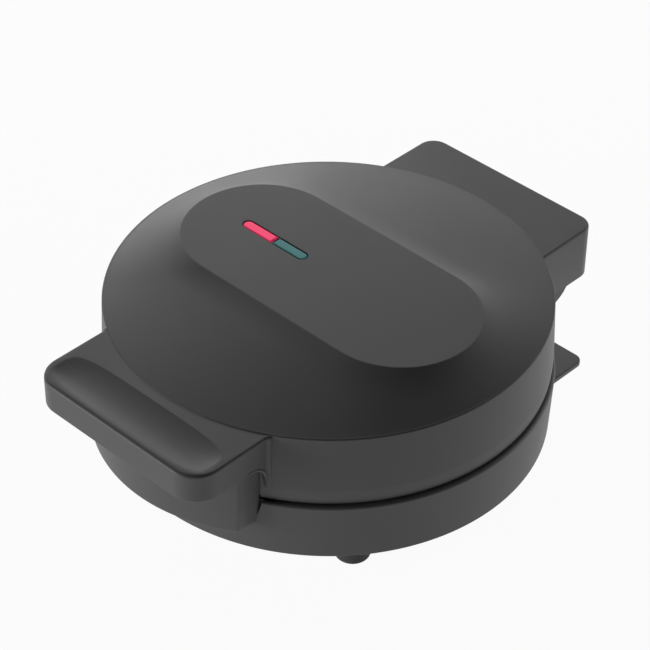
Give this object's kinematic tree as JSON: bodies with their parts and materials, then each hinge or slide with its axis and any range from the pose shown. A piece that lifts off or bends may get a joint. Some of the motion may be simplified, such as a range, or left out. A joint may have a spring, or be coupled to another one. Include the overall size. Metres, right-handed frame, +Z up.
{
  "type": "donut maker",
  "caption": "Round hinged electric maker for small ring cakes, with a flat raised panel and two indicator lenses on the lid, a front handle and a rear hinge block.",
  "frame": {"origin": "middle of the bounding box, on the surface the feet stand on", "axes": "+Z up, -Y towards the front handle, +Y towards the hinge, +X to the right seen from the handle"},
  "size_m": [0.2202, 0.273, 0.0883],
  "materials": {
    "housing": "fine matte texture, soft-touch",
    "plate_coating": "dark non-stick coating on die-cast aluminium",
    "element_sheath": "oxidised sheath",
    "zinc_steel": "zinc plated",
    "rubber": "matte",
    "red_lens": "clear tinted, satin face",
    "green_lens": "clear tinted, satin face",
    "white_nylon": "natural",
    "ceramic": "unglazed",
    "lamp_glass": "clear glass bulb"
  },
  "bodies": {
    "base": {"base_housing": "housing", "lower_plate": "plate_coating", "lower_element": "element_sheath", "lower_plate_screw_1": "zinc_steel", "lower_plate_screw_2": "zinc_steel", "lower_plate_screw_3": "zinc_steel", "lower_strap_1": "zinc_steel", "lower_strap_2": "zinc_steel", "lower_strap_3": "zinc_steel", "lower_strap_screw_1": "zinc_steel", "lower_strap_screw_2": "zinc_steel", "lower_strap_screw_3": "zinc_steel", "foot_front_right": "rubber", "foot_front_left": "rubber", "foot_rear_right": "rubber", "foot_rear_left": "rubber", "hinge_pin_right": "zinc_steel", "hinge_pin_left": "zinc_steel", "cord_bush": "rubber", "cord_clamp": "white_nylon", "cord_clamp_screw_left": "zinc_steel", "cord_clamp_screw_right": "zinc_steel", "terminal_block": "ceramic", "terminal_block_screw": "zinc_steel"},
    "lid": {"lid_housing": "housing", "upper_plate": "plate_coating", "upper_element": "element_sheath", "upper_plate_screw_1": "zinc_steel", "upper_plate_screw_2": "zinc_steel", "upper_plate_screw_3": "zinc_steel", "upper_strap_1": "zinc_steel", "upper_strap_2": "zinc_steel", "upper_strap_3": "zinc_steel", "upper_strap_screw_1": "zinc_steel", "upper_strap_screw_2": "zinc_steel", "upper_strap_screw_3": "zinc_steel", "thermostat": "ceramic", "thermostat_bracket": "zinc_steel", "thermostat_screw": "zinc_steel", "fuse_clip": "zinc_steel", "thermal_fuse": "white_nylon", "fuse_clip_screw": "zinc_steel", "power_lens": "red_lens", "ready_lens": "green_lens", "lamp_holder": "white_nylon", "power_lamp": "lamp_glass", "ready_lamp": "lamp_glass", "lamp_holder_screw_1": "zinc_steel", "lamp_holder_screw_2": "zinc_steel"}
  },
  "joints": [
    {"name": "lid_hinge", "type": "hinge", "parent": "base", "child": "lid", "pos_m": [0, 0.1233, 0.054], "axis": [-1, 0, 0], "range_deg": [0, 95]}
  ]
}
